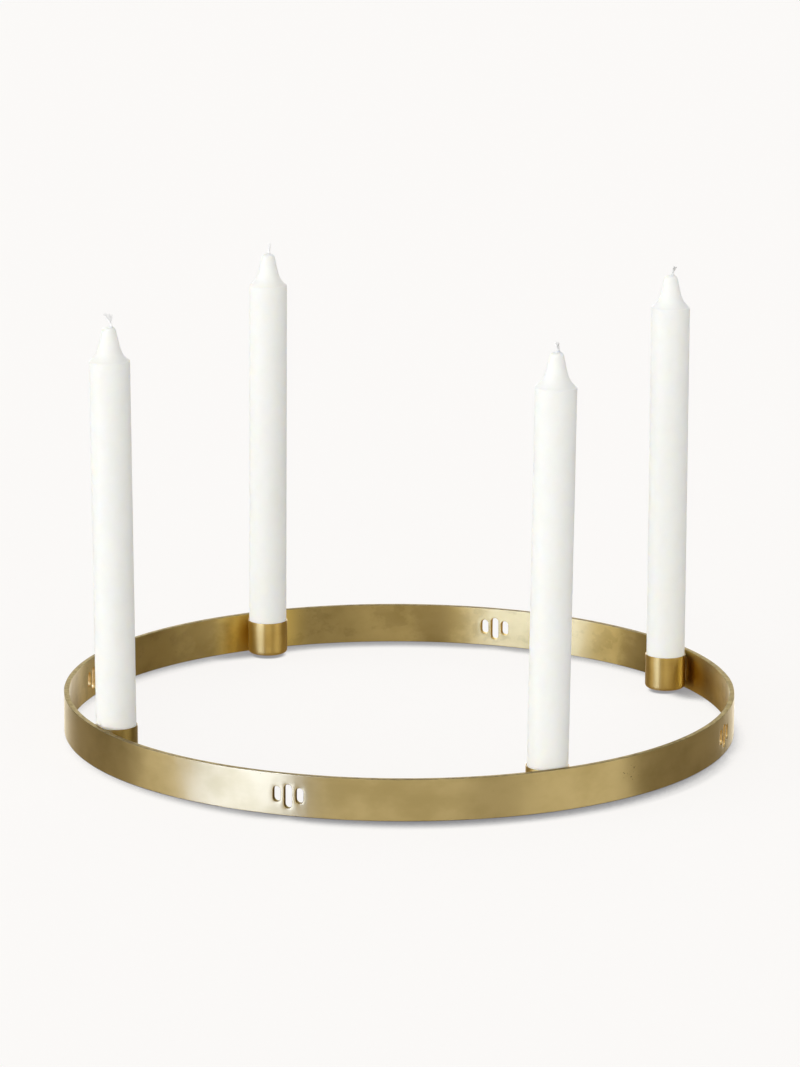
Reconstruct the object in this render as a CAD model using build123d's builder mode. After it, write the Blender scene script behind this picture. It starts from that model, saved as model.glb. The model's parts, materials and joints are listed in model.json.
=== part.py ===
from build123d import *
import math
import os

# An advent candle holder: a brass strip bent into a ring that stands on its edge, four drawn
# cups brazed to its inner face, and a dinner candle with its wick standing in each cup.
# Millimetres, +Z up, origin at the ring's centre on the surface that the holder stands on.

# Ring band
RING_DIAMETER = 380.0
BAND_HEIGHT = 23.0
BAND_THICKNESS = 3.0
BAND_EDGE_ROUND = 0.4

# Hanging slots, three side by side in each group, with the groups half way between the cups
SLOT_WIDTH = 4.9
SLOT_WEB = 1.5
SIDE_SLOT_LENGTH = 9.0
MIDDLE_SLOT_LENGTH = 13.6
MIDDLE_SLOT_DROP = 0.8
SLOT_LIP_ROUND = 0.25

# Candle cups, named by where they stand
STATIONS = ("back_right", "back_left", "front_left", "front_right")
FIRST_CUP_ANGLE = 45.0
CUP_BORE = 22.5
CUP_WALL = 0.5
CUP_FLOOR = 0.6
CUP_HEIGHT = 20.0
CUP_LIFT = 1.5
CUP_CORNER_RADIUS = 1.5
CUP_RIM_ROUND = 0.15

# Brazed seam between a cup and the band
BRAZE_GAP = 0.45
BRAZE_WIDTH = 8.0
BRAZE_RIM_MARGIN = 1.0
BRAZE_CLEARANCE = 0.3

# Candles: a straight stem, a hollow flare from the shoulder, a conical neck and a round crown
CANDLE_CLEARANCE = 0.15
STEM_LENGTH = 223.5
SHOULDER_ROUND = 0.3
FLARE_HEIGHT = 8.0
WAIST_RADIUS = 6.1
NECK_HEIGHT = 11.5
CROWN_RADIUS = 3.7
CROWN_ROUND = 1.8

# Wicks: each free end bends from upright by its lean, towards its heading, and ends straight
WICK_DIAMETER = 1.8
WICK_BEND_RADIUS = 8.0
WICK_LEAN_ANGLE = {"back_right": 18.0, "back_left": 4.0, "front_left": 14.0, "front_right": 10.0}
WICK_HEADING_ANGLE = {"back_right": 18.0, "back_left": 18.0, "front_left": 198.0, "front_right": 198.0}
BACK_RIGHT_WICK_END = 3.6
BACK_LEFT_WICK_END = 6.2
FRONT_LEFT_WICK_END = 6.2
FRONT_RIGHT_WICK_END = 4.8

# What follows from those sizes
UP = Vector(0, 0, 1)
station_step = 360 / len(STATIONS)
ring_radius = RING_DIAMETER / 2
ring_inner_radius = ring_radius - BAND_THICKNESS
ring_middle_radius = ring_radius - BAND_THICKNESS / 2
band_middle = BAND_HEIGHT / 2
slot_step = math.degrees((SLOT_WIDTH + SLOT_WEB) / ring_middle_radius)
cup_bore_radius = CUP_BORE / 2
cup_radius = cup_bore_radius + CUP_WALL
cup_inner_corner = CUP_CORNER_RADIUS - CUP_WALL
cup_spoke = ring_inner_radius - BRAZE_GAP - cup_radius
cup_rim = CUP_LIFT + CUP_HEIGHT
seam_base = CUP_LIFT + CUP_CORNER_RADIUS
seam_top = min(cup_rim, BAND_HEIGHT - BAND_EDGE_ROUND) - BRAZE_RIM_MARGIN
candle_base = CUP_LIFT + CUP_FLOOR
candle_radius = cup_bore_radius - CANDLE_CLEARANCE
butt_round = cup_inner_corner + CANDLE_CLEARANCE
waist_height = STEM_LENGTH + FLARE_HEIGHT
candle_length = waist_height + NECK_HEIGHT
wick_radius = WICK_DIAMETER / 2
wick_end = {
    "back_right": BACK_RIGHT_WICK_END,
    "back_left": BACK_LEFT_WICK_END,
    "front_left": FRONT_LEFT_WICK_END,
    "front_right": FRONT_RIGHT_WICK_END,
}


def heading(angle):
    """The level direction at an angle from +X."""
    return Vector(math.cos(math.radians(angle)), math.sin(math.radians(angle)), 0)


def level_plane(origin, angle):
    """A level plane through a point, with X along the heading."""
    return Plane(origin=origin, x_dir=heading(angle), z_dir=UP)


def upright_plane(origin, angle):
    """A vertical plane through a point, with X along the heading and Y up."""
    return Plane(origin=origin, x_dir=heading(angle), z_dir=heading(angle).cross(UP))


def wall_plane(angle, height):
    """A plane in the middle of the band's wall, facing outwards, with Y up."""
    middle = heading(angle) * ring_middle_radius + UP * height
    return Plane(origin=middle, x_dir=UP.cross(heading(angle)), z_dir=heading(angle))


def keep(piece, name):
    """Labels a finished piece and writes it to its file."""
    piece.label = name
    export_step(piece, f"parts/{name}.step")


os.makedirs("parts", exist_ok=True)

# Ring band: a round strip with softened edges and its hanging slots
slots_in_group = (
    (-1, SIDE_SLOT_LENGTH, band_middle),
    (0, MIDDLE_SLOT_LENGTH, band_middle - MIDDLE_SLOT_DROP),
    (1, SIDE_SLOT_LENGTH, band_middle),
)
with BuildPart() as ring_band:
    with BuildSketch():
        Circle(ring_radius)
        Circle(ring_inner_radius, mode=Mode.SUBTRACT)
    extrude(amount=BAND_HEIGHT)
    fillet(ring_band.edges().filter_by(GeomType.CIRCLE), BAND_EDGE_ROUND)
    for group in range(len(STATIONS)):
        group_angle = FIRST_CUP_ANGLE + station_step * (group + 1 / 2)
        for place, slot_length, slot_middle in slots_in_group:
            slot_angle = group_angle + slot_step * place
            with BuildSketch(wall_plane(slot_angle, slot_middle)):
                SlotOverall(slot_length, SLOT_WIDTH, rotation=90)
            extrude(amount=BAND_THICKNESS, both=True, mode=Mode.SUBTRACT)
            through_band = Axis((0, 0, 0), heading(slot_angle))
            slot_lips = ring_band.edges(Select.LAST).filter_by(through_band, reverse=True)
            fillet(slot_lips, SLOT_LIP_ROUND)
keep(ring_band.part, "ring_band")

for number, station in enumerate(STATIONS):
    cup_angle = FIRST_CUP_ANGLE + station_step * number
    cup_centre = heading(cup_angle) * cup_spoke
    cup_axis = Axis(cup_centre, UP)

    # Cup: drawn from sheet, round at its bottom corner, open at the top
    with BuildPart() as cup:
        with BuildSketch(upright_plane(cup_centre + UP * CUP_LIFT, cup_angle)) as cup_section:
            with BuildLine():
                Polyline(
                    (0, 0),
                    (cup_radius, 0),
                    (cup_radius, CUP_HEIGHT),
                    (cup_bore_radius, CUP_HEIGHT),
                    (cup_bore_radius, CUP_FLOOR),
                    (0, CUP_FLOOR),
                    close=True,
                )
            make_face()
            outer_corner = cup_section.vertices().group_by(Axis.Y)[0].sort_by(Axis.X)[-1]
            inner_corner = cup_section.vertices().group_by(Axis.Y)[1].sort_by(Axis.X)[-1]
            rim_corners = cup_section.vertices().group_by(Axis.Y)[-1]
            fillet(outer_corner, CUP_CORNER_RADIUS)
            fillet(inner_corner, cup_inner_corner)
            fillet(rim_corners, min(CUP_RIM_ROUND, CUP_WALL / 3))
        revolve(axis=cup_axis)
    keep(cup.part, f"candle_cup_{station}")

    # Brazed seam: filler between the cup's wall and the band's inner face
    with BuildPart() as seam:
        with BuildSketch(level_plane(UP * seam_base, cup_angle)):
            with Locations((cup_spoke, 0)):
                Rectangle(cup_radius * 2, BRAZE_WIDTH, align=(Align.MIN, Align.CENTER))
            Circle(ring_inner_radius - BRAZE_CLEARANCE, mode=Mode.INTERSECT)
            with Locations((cup_spoke, 0)):
                Circle(cup_radius, mode=Mode.SUBTRACT)
        extrude(amount=seam_top - seam_base)
    keep(seam.part, f"brazed_seam_{station}")

    # Candle: cast wax, bored for its wick, standing on the cup's floor
    candle_foot = cup_centre + UP * candle_base
    with BuildPart() as candle:
        with BuildSketch(upright_plane(candle_foot, cup_angle)) as candle_section:
            with BuildLine():
                TangentArc(
                    (WAIST_RADIUS, waist_height),
                    (candle_radius, STEM_LENGTH),
                    tangent=(WAIST_RADIUS - CROWN_RADIUS, -NECK_HEIGHT),
                )
                Polyline(
                    (candle_radius, STEM_LENGTH),
                    (candle_radius, 0),
                    (wick_radius, 0),
                    (wick_radius, candle_length),
                    (CROWN_RADIUS, candle_length),
                    (WAIST_RADIUS, waist_height),
                )
            make_face()
            butt_edge = candle_section.vertices().group_by(Axis.Y)[0].sort_by(Axis.X)[-1]
            shoulder_edge = candle_section.vertices().group_by(Axis.X)[-1].sort_by(Axis.Y)[-1]
            crown_edge = candle_section.vertices().group_by(Axis.Y)[-1].sort_by(Axis.X)[-1]
            fillet(butt_edge, butt_round)
            fillet(shoulder_edge, SHOULDER_ROUND)
            fillet(crown_edge, CROWN_ROUND)
        revolve(axis=cup_axis)
    keep(candle.part, f"candle_{station}")

    # Wick: a round cotton cord through the wax, bent over at its free end
    lean = math.radians(WICK_LEAN_ANGLE[station])
    bend_reach = WICK_BEND_RADIUS * (1 - math.cos(lean))
    bend_top = candle_length + WICK_BEND_RADIUS * math.sin(lean)
    end_reach = bend_reach + wick_end[station] * math.sin(lean)
    end_top = bend_top + wick_end[station] * math.cos(lean)
    with BuildPart() as wick:
        with BuildLine(upright_plane(candle_foot, WICK_HEADING_ANGLE[station])):
            Line((0, 0), (0, candle_length))
            JernArc((0, candle_length), (0, 1), WICK_BEND_RADIUS, -WICK_LEAN_ANGLE[station])
            Line((bend_reach, bend_top), (end_reach, end_top))
        with BuildSketch(level_plane(candle_foot, cup_angle)):
            Circle(wick_radius)
        sweep()
    keep(wick.part, f"wick_{station}")
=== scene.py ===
# %% [markdown]
# # Dressing an advent candle holder
# The real thing is a strip of brass bent into a ring that stands on its edge, with four small
# cups brazed to its inner face and a dinner candle in each cup. The CAD model already has every
# piece at its true size, so this lesson is about looks. We work in metres, in the frame of the
# CAD model. A piece that needs finer shape than its solid is modelled anew in the same place and
# stands for it, and the CAD solids themselves are never moved.

# %% Load the frame
import json
import math

import bpy
from mathutils import Matrix, Quaternion, Vector, noise


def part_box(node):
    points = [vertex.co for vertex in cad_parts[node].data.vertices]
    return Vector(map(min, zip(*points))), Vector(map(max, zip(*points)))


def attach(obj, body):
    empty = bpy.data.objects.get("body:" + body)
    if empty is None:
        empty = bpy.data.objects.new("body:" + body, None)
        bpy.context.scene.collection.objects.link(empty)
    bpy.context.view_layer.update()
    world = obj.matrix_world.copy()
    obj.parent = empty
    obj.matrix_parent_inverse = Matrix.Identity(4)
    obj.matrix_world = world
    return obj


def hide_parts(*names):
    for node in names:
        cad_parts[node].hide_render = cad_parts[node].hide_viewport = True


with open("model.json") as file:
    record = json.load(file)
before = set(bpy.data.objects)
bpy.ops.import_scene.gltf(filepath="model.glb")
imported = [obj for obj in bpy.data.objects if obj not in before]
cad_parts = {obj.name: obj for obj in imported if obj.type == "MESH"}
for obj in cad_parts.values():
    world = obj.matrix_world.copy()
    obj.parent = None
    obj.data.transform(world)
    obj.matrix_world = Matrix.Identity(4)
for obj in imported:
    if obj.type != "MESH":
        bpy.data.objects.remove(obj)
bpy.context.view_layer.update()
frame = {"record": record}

# %% [markdown]
# ## Camera
# A product photograph is taken from far off with a long lens, so upright edges stay upright.
# The camera could be placed by eye, but the ring gives it away: an ellipse's width and height
# tell the distance and the elevation, and the candles' lean tells the roll. Those values are
# written here, and the lens follows from its focal length in pixels of the picture.

# %% Camera
PHOTO_SIZE = (800, 1067)
FOCAL_PIXELS = 4500
SENSOR_WIDTH = 36
CAMERA_AZIMUTH = math.radians(18)
CAMERA_ELEVATION = math.radians(15.658)
CAMERA_DISTANCE = 2.564
CAMERA_ROLL = math.radians(0.26)
AIM_HEIGHT = 0.1116


def level(degrees):
    """The level direction at an angle from +X."""
    return Vector((math.cos(math.radians(degrees)), math.sin(math.radians(degrees)), 0))


def deselect():
    """Leaves edit mode with nothing selected, so that an operator meets only what it adds."""
    if bpy.context.mode != "OBJECT":
        bpy.ops.object.mode_set(mode="OBJECT")
    bpy.ops.object.select_all(action="DESELECT")


deselect()
camera_place = CAMERA_DISTANCE * Vector((
    math.sin(CAMERA_AZIMUTH) * math.cos(CAMERA_ELEVATION),
    -math.cos(CAMERA_AZIMUTH) * math.cos(CAMERA_ELEVATION),
    math.sin(CAMERA_ELEVATION),
))
sight = Vector((0, 0, AIM_HEIGHT)) - camera_place
camera_turn = sight.to_track_quat("-Z", "Y") @ Quaternion((0, 0, 1), CAMERA_ROLL)
bpy.ops.object.camera_add(location=camera_place, rotation=camera_turn.to_euler())
camera = bpy.context.object
camera.data.sensor_width = SENSOR_WIDTH
camera.data.lens = FOCAL_PIXELS * SENSOR_WIDTH / max(PHOTO_SIZE)
bpy.context.scene.camera = camera
bpy.context.scene.view_settings.view_transform = "Standard"
print("lens", round(camera.data.lens, 2), "mm at", [round(x, 3) for x in camera_place])

# %% [markdown]
# ## Shader arithmetic
# Finishes are made of nodes, and long node lists are hard to read. A small class wraps one
# output of a node. Adding, subtracting or multiplying such wires adds Math nodes, so a mask can
# be written as a formula, and one method adds every other kind of node.

# %% Wires
NOISE_MIDDLE = 0.5


class Wire:
    """One output of a node, with arithmetic that adds Math nodes to its tree."""

    def __init__(self, tree, socket=None):
        self.tree = tree
        self.socket = socket

    def node(self, kind, settings=None, sockets=None, output=0):
        """Adds a node: its settings first, then the values or wires of its sockets."""
        made = self.tree.nodes.new(kind)
        for name, value in (settings or {}).items():
            setattr(made, name, value)
        for name, value in (sockets or {}).items():
            if isinstance(value, Wire):
                self.tree.links.new(value.socket, made.inputs[name])
            else:
                made.inputs[name].default_value = value
        return Wire(self.tree, made.outputs[output])

    def math(self, operation, first, second):
        """Arithmetic on two values or wires."""
        return self.node("ShaderNodeMath", {"operation": operation}, {0: first, 1: second})

    def __add__(self, other):
        return self.math("ADD", self, other)

    def __sub__(self, other):
        return self.math("SUBTRACT", self, other)

    def __rsub__(self, other):
        return self.math("SUBTRACT", other, self)

    def __mul__(self, other):
        return self.math("MULTIPLY", self, other)

    __radd__ = __add__
    __rmul__ = __mul__

    def step(self, low, high):
        """A soft step, from 0 at low to 1 at high."""
        return self.node(
            "ShaderNodeMapRange",
            {"interpolation_type": "SMOOTHSTEP"},
            {"Value": self, "From Min": low, "From Max": high},
        )

    def blend(self, first, second):
        """A colour between two, by this mask."""
        return self.node("ShaderNodeMix", {"data_type": "RGBA"}, {0: self, 6: first, 7: second}, 2)

    def tint(self, colour, by):
        """A colour times another, as far as this mask says."""
        settings = {"data_type": "RGBA", "blend_type": "MULTIPLY"}
        return self.node("ShaderNodeMix", settings, {0: self, 6: colour, 7: by}, 2)

    def vector(self, operation, other=None, output="Vector"):
        """Vector arithmetic on this wire and, where the operation takes two, another."""
        sockets = {0: self} if other is None else {0: self, 1: other}
        return self.node("ShaderNodeVectorMath", {"operation": operation}, sockets, output)

    def distance(self, point):
        """How far a place is from a point."""
        return self.vector("DISTANCE", point, "Value")

    def grain(self, scale, detail=2.0, roughness=0.5):
        """Noise that is this many times finer along each axis of a wire that holds a place."""
        place = self.node("ShaderNodeMapping", {}, {"Vector": self, "Scale": scale})
        return place.node(
            "ShaderNodeTexNoise",
            {},
            {"Vector": place, "Scale": 1.0, "Detail": detail, "Roughness": roughness},
        )

    def centred(self):
        """Noise that swings about 0 instead of about a half."""
        return self - NOISE_MIDDLE

    def bump(self, strength, depth):
        """A normal that tilts with this wire taken as a height."""
        sockets = {"Strength": strength, "Distance": depth, "Height": self}
        return self.node("ShaderNodeBump", {}, sockets, "Normal")


def new_finish(name):
    """A material. Returns it with its shader node and a wire that holds the place on the object."""
    material = bpy.data.materials.new(name)
    material.use_nodes = True
    shader = material.node_tree.nodes["Principled BSDF"]
    place = Wire(material.node_tree).node("ShaderNodeTexCoord", output="Object")
    return material, shader, place


def hold(shader, **values):
    """Sets sockets that stay the same all over a surface, with _ for the space in a socket's name."""
    for name, value in values.items():
        shader.inputs[name.replace("_", " ")].default_value = value


def feed(shader, **wires):
    """Links wires to a shader's sockets, named in the same way."""
    for name, wire in wires.items():
        wire.tree.links.new(wire.socket, shader.inputs[name.replace("_", " ")])


print("wires ready")

# %% [markdown]
# ## Stage
# The picture shows a white sweep that is lit so evenly that only a thin shadow is left where the
# band meets it. A plain white plane under lamps would fall off towards the edges. So the world is
# the studio: upright panels of light stand round the object, with darker gaps between them, which
# is what gives round brass its dark bands. The softbox at the front left and a weak fill at the back
# left light only matt surfaces, and the panels behind and on the left look a little different in
# metal. What the camera sees of the world is plain white.

# %% Studio values
PAPER_WHITE = (0.956, 0.940, 0.924, 1)
KEY_ANGLE, KEY_HALF_WIDTH = 234.6, 18
KEY_LIGHT = (9.17, 9.36, 9.56, 1)
NO_LIGHT = (0, 0, 0, 1)
BACK_ANGLE, BACK_HALF_WIDTH = 107, 29
BACK_LIGHT = (2.6, 2.6, 2.6, 1)
BACK_SHINE = (3.1, 3.3, 4.0, 1)
LEFT_ANGLE, LEFT_HALF_WIDTH = 205, 14
LEFT_LIGHT = (3.0, 3.0, 3.0, 1)
LEFT_SHINE = (2.3, 2.3, 2.35, 1)
FRONT_ANGLE, FRONT_HALF_WIDTH, FRONT_LIGHT = 315, 57, 1.3
NEAR_ANGLE, NEAR_HALF_WIDTH, NEAR_LIGHT = 284.5, 25.5, 1.15
SIDE_ANGLE, SIDE_HALF_WIDTH, SIDE_LIGHT = 351.5, 20.5, 1.3
WRAP_ANGLE, WRAP_HALF_WIDTH = 168, 25
WRAP_LIGHT = (0.9, 0.9, 0.9, 1)
PANEL_SOFTNESS = 5
KEY_TOP = 0.20
WALL_TOP = 0.42
EDGE_SOFTNESS = 0.08
GAP_LIGHT = 0.10
CEILING_LIGHT = 0.40
print("softbox", 2 * KEY_HALF_WIDTH, "degrees wide")

# %% Studio panels
world = bpy.data.worlds.new("Soft studio")
world.use_nodes = True
bpy.context.scene.world = world
look = Wire(world.node_tree).node("ShaderNodeTexCoord", output="Generated")
height = look.node("ShaderNodeSeparateXYZ", {}, {0: look}, "Z")
flat = look.vector("MULTIPLY", (1, 1, 0)).vector("NORMALIZE")


def panel(angle, half_width, light):
    """The light of an upright panel of the studio, which is 0 away from it."""
    facing = flat.vector("DOT_PRODUCT", level(angle), "Value")
    outside = math.cos(math.radians(half_width + PANEL_SOFTNESS))
    inside = math.cos(math.radians(half_width - PANEL_SOFTNESS))
    return facing.step(outside, inside) * light


def below(top):
    """1 below a height on the sphere of directions, and 0 above it."""
    return 1 - height.step(top - EDGE_SOFTNESS, top + EDGE_SOFTNESS)


print("panels fade over", 2 * PANEL_SOFTNESS, "degrees")

# %% Studio light
walls = panel(FRONT_ANGLE, FRONT_HALF_WIDTH, FRONT_LIGHT)
walls = walls + panel(NEAR_ANGLE, NEAR_HALF_WIDTH, NEAR_LIGHT)
walls = walls + panel(SIDE_ANGLE, SIDE_HALF_WIDTH, SIDE_LIGHT)
ceiling = CEILING_LIGHT * (1 - below(WALL_TOP))
room = GAP_LIGHT + walls * below(WALL_TOP) + ceiling
rays = world.node_tree.nodes.new("ShaderNodeLightPath")
mirrored = Wire(world.node_tree, rays.outputs["Is Glossy Ray"])


def split_panel(angle, half_width, light, shine, top):
    """A panel whose image in a glossy surface differs from the light it gives."""
    shape = panel(angle, half_width, 1.0) * below(top)
    colour = mirrored.blend(light, shine)
    return shape.node("ShaderNodeVectorMath", {"operation": "SCALE"}, {0: colour, "Scale": shape})


key = split_panel(KEY_ANGLE, KEY_HALF_WIDTH, KEY_LIGHT, NO_LIGHT, KEY_TOP)
back = split_panel(BACK_ANGLE, BACK_HALF_WIDTH, BACK_LIGHT, BACK_SHINE, WALL_TOP)
left = split_panel(LEFT_ANGLE, LEFT_HALF_WIDTH, LEFT_LIGHT, LEFT_SHINE, WALL_TOP)
wrap = split_panel(WRAP_ANGLE, WRAP_HALF_WIDTH, WRAP_LIGHT, NO_LIGHT, WALL_TOP)
studio = room
for part in (key, back, left, wrap):
    studio = studio.vector("ADD", part)
world_colour = Wire(world.node_tree, rays.outputs["Is Camera Ray"]).blend(studio, PAPER_WHITE)
world.node_tree.links.new(world_colour.socket, world.node_tree.nodes["Background"].inputs["Color"])
print("studio of", len(world.node_tree.nodes), "nodes")

# %% [markdown]
# ## Card
# A highlight on metal is the image of something bright. A distant panel would show at one angle
# everywhere, but a card that stands near gives each piece its own view of it, as a softbox close to
# the object does. It glows for reflections alone: the camera and matt surfaces don't see it.

# %% Card that the metal mirrors
CARD_NEAR_EDGE, CARD_NEAR_HEIGHT = (-0.216, -0.797), 0.8
CARD_FAR_EDGE, CARD_FAR_HEIGHT = (-2.442, -1.740), 3.3
CARD_SHINE = (4.5, 5.75, 11.6, 1)

deselect()
bpy.ops.mesh.primitive_plane_add(size=1)
card = bpy.context.object
card.name = "card"
for corner in card.data.vertices:
    edge, top = (CARD_NEAR_EDGE, CARD_NEAR_HEIGHT) if corner.co.x > 0 else (CARD_FAR_EDGE, CARD_FAR_HEIGHT)
    corner.co = (*edge, top if corner.co.y > 0 else 0)
silk = bpy.data.materials.new("Lit silk")
silk.use_nodes = True
silk_glow = Wire(silk.node_tree).node("ShaderNodeEmission", {}, {"Color": CARD_SHINE})
silk.node_tree.links.new(silk_glow.socket, silk.node_tree.nodes["Material Output"].inputs["Surface"])
card.data.materials.append(silk)
card.visible_camera = False
card.visible_diffuse = False
card.visible_transmission = False
card.visible_shadow = False
print("card", CARD_NEAR_HEIGHT, "to", CARD_FAR_HEIGHT, "m tall")

# %% [markdown]
# ## Floor
# The paper under the object is almost evenly white. The floor mixes its own soft shading with a glow,
# so that it stays even and still keeps the shadow, and metal sees it warmer than the camera does.
# The dark line under the band is paper that sees little of the sky. Lamps could draw it, but they
# would shade the rest of the floor as well. Ambient occlusion about a tilted direction finds it
# alone, and masks keep it to the band and the cups.

# %% Floor values
FLOOR_SIZE = 40
FLOOR_DROP = 0.0001
FLOOR_GREY = (0.52, 0.51, 0.50, 1)
GLOW = (1.215, 1.195, 1.175, 1)
FLOOR_IN_METAL = (0.463, 0.372, 0.240, 1)
GLOW_IN_METAL = (1.08, 0.87, 0.56, 1)
CREASE = (0.21, 0.22, 0.25, 1)
CREASE_REACH = 0.024
CREASE_LOW, CREASE_HIGH = 0.37, 0.65
CREASE_INNER, CREASE_OUTER = 0.166, 0.180
CREASE_INSIDE = 0.84
CREASE_SAMPLES = 16
CUP_CREASE_NEAR, CUP_CREASE_FAR = 0.0086, 0.0130
SKY_INSIDE, INSIDE_TILT = 114, math.radians(62)
SKY_OUTSIDE, OUTSIDE_TILT = 120, math.radians(56)
GLOW_TO_CAMERA = 0.7
GLOW_TO_METAL = 0.2
BAND_WALL = 0.003

ring_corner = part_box("ring_band")[1]
ring_radius = ring_corner.x
cup_low, cup_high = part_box("candle_cup_back_right")
cup_axis = ((cup_low + cup_high) / 2).xy.to_3d()
print("cup axis", round(cup_axis.length, 4), "m from the middle")

# %% Floor
deselect()
bpy.ops.mesh.primitive_plane_add(size=FLOOR_SIZE, location=(0, 0, -FLOOR_DROP))
floor = bpy.context.object
floor.name = "floor"
paper = bpy.data.materials.new("White paper")
paper.use_nodes = True
tree = paper.node_tree
tree.nodes.remove(tree.nodes["Principled BSDF"])
rays = tree.nodes.new("ShaderNodeLightPath")
seen = Wire(tree, rays.outputs["Is Camera Ray"])
mirrored = Wire(tree, rays.outputs["Is Glossy Ray"]) + Wire(tree, rays.outputs["Is Transmission Ray"])
share = seen * GLOW_TO_CAMERA + mirrored * GLOW_TO_METAL
ground = share.node("ShaderNodeTexCoord", output="Object")
spot = ground.vector("LENGTH", output="Value")
to_cup = ground.vector("ABSOLUTE").distance(cup_axis)


def sky(angle, tilt):
    """The direction in which a crease looks for open sky, tilted from upright."""
    return level(angle) * math.sin(tilt) + Vector((0, 0, math.cos(tilt)))


outside = spot.step(ring_radius - BAND_WALL, ring_radius)
skies = {0: outside, 4: sky(SKY_INSIDE, INSIDE_TILT), 5: sky(SKY_OUTSIDE, OUTSIDE_TILT)}
skies = share.node("ShaderNodeMix", {"data_type": "VECTOR"}, skies, 1)
open_sky = share.node(
    "ShaderNodeAmbientOcclusion",
    {"samples": CREASE_SAMPLES},
    {"Distance": CREASE_REACH, "Normal": skies},
    "AO",
)
by_cup = 1 - to_cup.step(CUP_CREASE_NEAR, CUP_CREASE_FAR)
near = by_cup.math("MAXIMUM", by_cup, spot.step(CREASE_INNER, CREASE_OUTER))
crease = (1 - open_sky.step(CREASE_LOW, CREASE_HIGH)) * near * seen
crease = crease * (CREASE_INSIDE + (1 - CREASE_INSIDE) * outside)
matt = share.node("ShaderNodeBsdfDiffuse", {}, {"Color": mirrored.blend(FLOOR_GREY, FLOOR_IN_METAL)})
glow = crease.blend(mirrored.blend(GLOW, GLOW_IN_METAL), CREASE)
glow = share.node("ShaderNodeEmission", {}, {"Color": glow})
lit = share.node("ShaderNodeMixShader", {}, {0: share, 1: matt, 2: glow})
tree.links.new(lit.socket, tree.nodes["Material Output"].inputs["Surface"])
floor.data.materials.append(paper)
print("floor", FLOOR_SIZE, "m across")

# %% [markdown]
# ## Ring band
# A strip is punched with its hanging slots while it is flat, then rolled into a ring and brazed
# shut. The same order works here. A flat grid of one quarter has its lines laid so that the slots
# fall between them, the faces of each slot are deleted and the hole's corners drawn round. Then
# the sheet is rolled, spun to four quarters, given its thickness, and its edges are rounded. Last,
# weak waves show that it was rolled, with both rims kept level, because the holder stands on one.
# Cutting the slots with a Boolean would be shorter, but leaves long thin faces beside them, and
# satin metal shows every one.

# %% Band sizes
BAND_EDGE_ROUND = 0.0004
SIDE_SLOT_LENGTH = 0.009
PLAIN_COLUMNS = 84
SLOT_COLUMNS = 8
WEB_COLUMNS = 4
EDGE_COLUMNS = 9
ROW_HEIGHT = 0.00078
LIP_ROLL = 0.0003

band_height = ring_corner.z
mounts = {mount["name"]: mount for mount in frame["record"]["mounts"]}
slot_mount = mounts["hanging_slots_right"]
slot_radius = slot_mount["dims"]["hole_r_mm"] / 1000 - LIP_ROLL
slot_pitch = slot_mount["dims"]["spacing_x_mm"] / 1000
middle_slot_length = slot_mount["dims"]["slot_length_mm"] / 1000 - 2 * LIP_ROLL
middle_slot_height = slot_mount["pos_m"][2]
quarter = math.pi / 2 * ring_radius
slots = [
    (-slot_pitch, band_height / 2, SIDE_SLOT_LENGTH - 2 * LIP_ROLL),
    (0, middle_slot_height, middle_slot_length),
    (slot_pitch, band_height / 2, SIDE_SLOT_LENGTH - 2 * LIP_ROLL),
]
print("band", round(ring_radius * 2, 4), "m across,", band_height, "m high,", len(slots), "slots a group")


# %% Lines of the flat sheet
def spaced(start, end, count):
    """Evenly spaced places from start up to, but without, end."""
    return [start + (end - start) * i / count for i in range(count)]


DISH_WIDTH = 0.0030

group_half = slot_pitch + slot_radius
dish_half = group_half + DISH_WIDTH
columns = spaced(-quarter / 2, -dish_half, PLAIN_COLUMNS)
columns += spaced(-dish_half, -group_half, EDGE_COLUMNS)
for centre, _, _ in slots:
    columns += spaced(centre - slot_radius, centre + slot_radius, SLOT_COLUMNS)
    next_slot = centre + slot_pitch - slot_radius
    if next_slot < group_half:
        columns += spaced(centre + slot_radius, next_slot, WEB_COLUMNS)
columns += spaced(group_half, dish_half, EDGE_COLUMNS)
columns += spaced(dish_half, quarter / 2, PLAIN_COLUMNS) + [quarter / 2]
slot_ends = [height + side * length / 2 for _, height, length in slots for side in (-1, 1)]
stops = sorted({0, band_height, *(round(end, 6) for end in slot_ends)})
rows = [band_height]
for low, high in zip(stops, stops[1:]):
    rows += spaced(low, high, max(1, round((high - low) / ROW_HEIGHT)))
rows.sort()
print(len(columns), "upright lines and", len(rows), "level lines")


# %% Flat sheet with its slots
def edit(piece, kind="VERT"):
    """Opens a piece in edit mode with nothing selected."""
    deselect()
    bpy.context.view_layer.objects.active = piece
    piece.select_set(True)
    bpy.ops.object.mode_set(mode="EDIT")
    bpy.ops.mesh.select_mode(type=kind)
    bpy.ops.mesh.select_all(action="DESELECT")


def rank(values):
    """Each value's place among the different values, in order."""
    order = {value: i for i, value in enumerate(sorted({round(v, 5) for v in values}))}
    return [order[round(v, 5)] for v in values]


deselect()
bpy.ops.mesh.primitive_grid_add(x_subdivisions=len(columns) - 1, y_subdivisions=len(rows) - 1, size=2)
band = bpy.context.object
band.name = "satin_ring_band"
corners = band.data.vertices
column_of = rank([corner.co.x for corner in corners])
row_of = rank([corner.co.y for corner in corners])
for corner, column, row in zip(corners, column_of, row_of):
    corner.co = (columns[column], rows[row], 0)


def in_slot(place):
    """The slot whose upright box holds a place on the flat sheet, or None."""
    for centre, middle, length in slots:
        if abs(place.x - centre) < slot_radius and abs(place.y - middle) < length / 2:
            return centre, middle, length
    return None


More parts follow.
